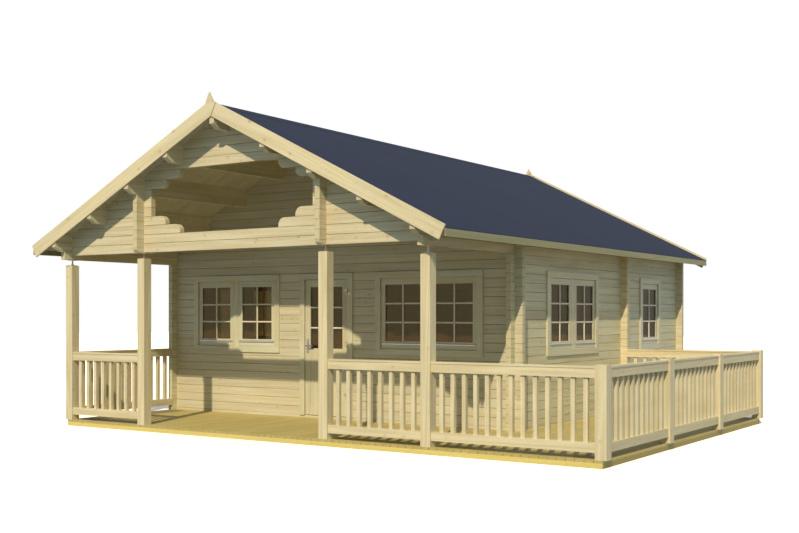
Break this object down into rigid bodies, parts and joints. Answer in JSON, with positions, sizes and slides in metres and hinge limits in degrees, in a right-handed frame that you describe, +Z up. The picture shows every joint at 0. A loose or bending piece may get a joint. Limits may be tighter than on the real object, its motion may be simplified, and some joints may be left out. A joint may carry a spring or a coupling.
{
  "type": "log cabin",
  "caption": "Two-room log cabin with a felt-covered gable roof that runs on over a front porch, a railed side deck and a glazed entrance door that swings outwards.",
  "frame": {"origin": "underside of the middle floor bearer, under the ridge, midway between the front and rear walls' centre lines", "axes": "+Z up, +Y from the porch towards the rear wall, +X towards the side deck"},
  "size_m": [8.025, 8.22, 4.0723],
  "materials": {
    "pine_logs": "planed, untreated",
    "pine_boards": "planed, untreated",
    "impregnated_pine": "pressure treated",
    "planed_pine": "planed, untreated",
    "glazing": "clear float glass",
    "roofing_felt": "mineral-faced bitumen felt",
    "galvanised_steel": "galvanised",
    "handle_metal": "satin"
  },
  "bodies": {
    "cabin": {"front_sill_log": "pine_logs", "front_wall_left": "pine_logs", "front_wall_right": "pine_logs", "front_wall_gable": "pine_logs", "partition_left": "pine_logs", "partition_right": "pine_logs", "partition_gable": "pine_logs", "rear_wall": "pine_logs", "left_wall": "pine_logs", "right_wall": "pine_logs", "left_plate_logs": "pine_logs", "right_plate_logs": "pine_logs", "porch_gable": "pine_logs", "gable_cross_logs": "pine_logs", "floor_bearers": "pine_boards", "floor_boards": "pine_boards", "purlins": "pine_boards", "roof_boards_left": "pine_boards", "roof_boards_right": "pine_boards", "eave_fascias": "pine_boards", "left_barge_boards": "pine_boards", "right_barge_boards": "pine_boards", "porch_posts": "pine_boards", "deck_joists": "impregnated_pine", "deck_boards": "impregnated_pine", "railing_posts": "impregnated_pine", "railing_front_left": "impregnated_pine", "railing_front_right": "impregnated_pine", "railing_front_corner": "impregnated_pine", "railing_side_bays": "impregnated_pine", "railing_rear": "impregnated_pine", "railing_left": "impregnated_pine", "front_window_frames": "planed_pine", "front_window_sashes": "planed_pine", "side_window_frames": "planed_pine", "side_window_sashes": "planed_pine", "door_frame": "planed_pine", "window_glass": "glazing", "roof_felt": "roofing_felt", "post_jacks": "galvanised_steel", "frame_hinge_pins": "galvanised_steel"},
    "door": {"door_leaf": "planed_pine", "door_glass": "glazing", "door_hinges": "galvanised_steel", "door_handle": "handle_metal"}
  },
  "joints": [
    {"name": "door_hinge", "type": "hinge", "parent": "cabin", "child": "door", "pos_m": [0.358, -2.857, 1], "axis": [0, 0, 1], "range_deg": [0, 100]}
  ]
}
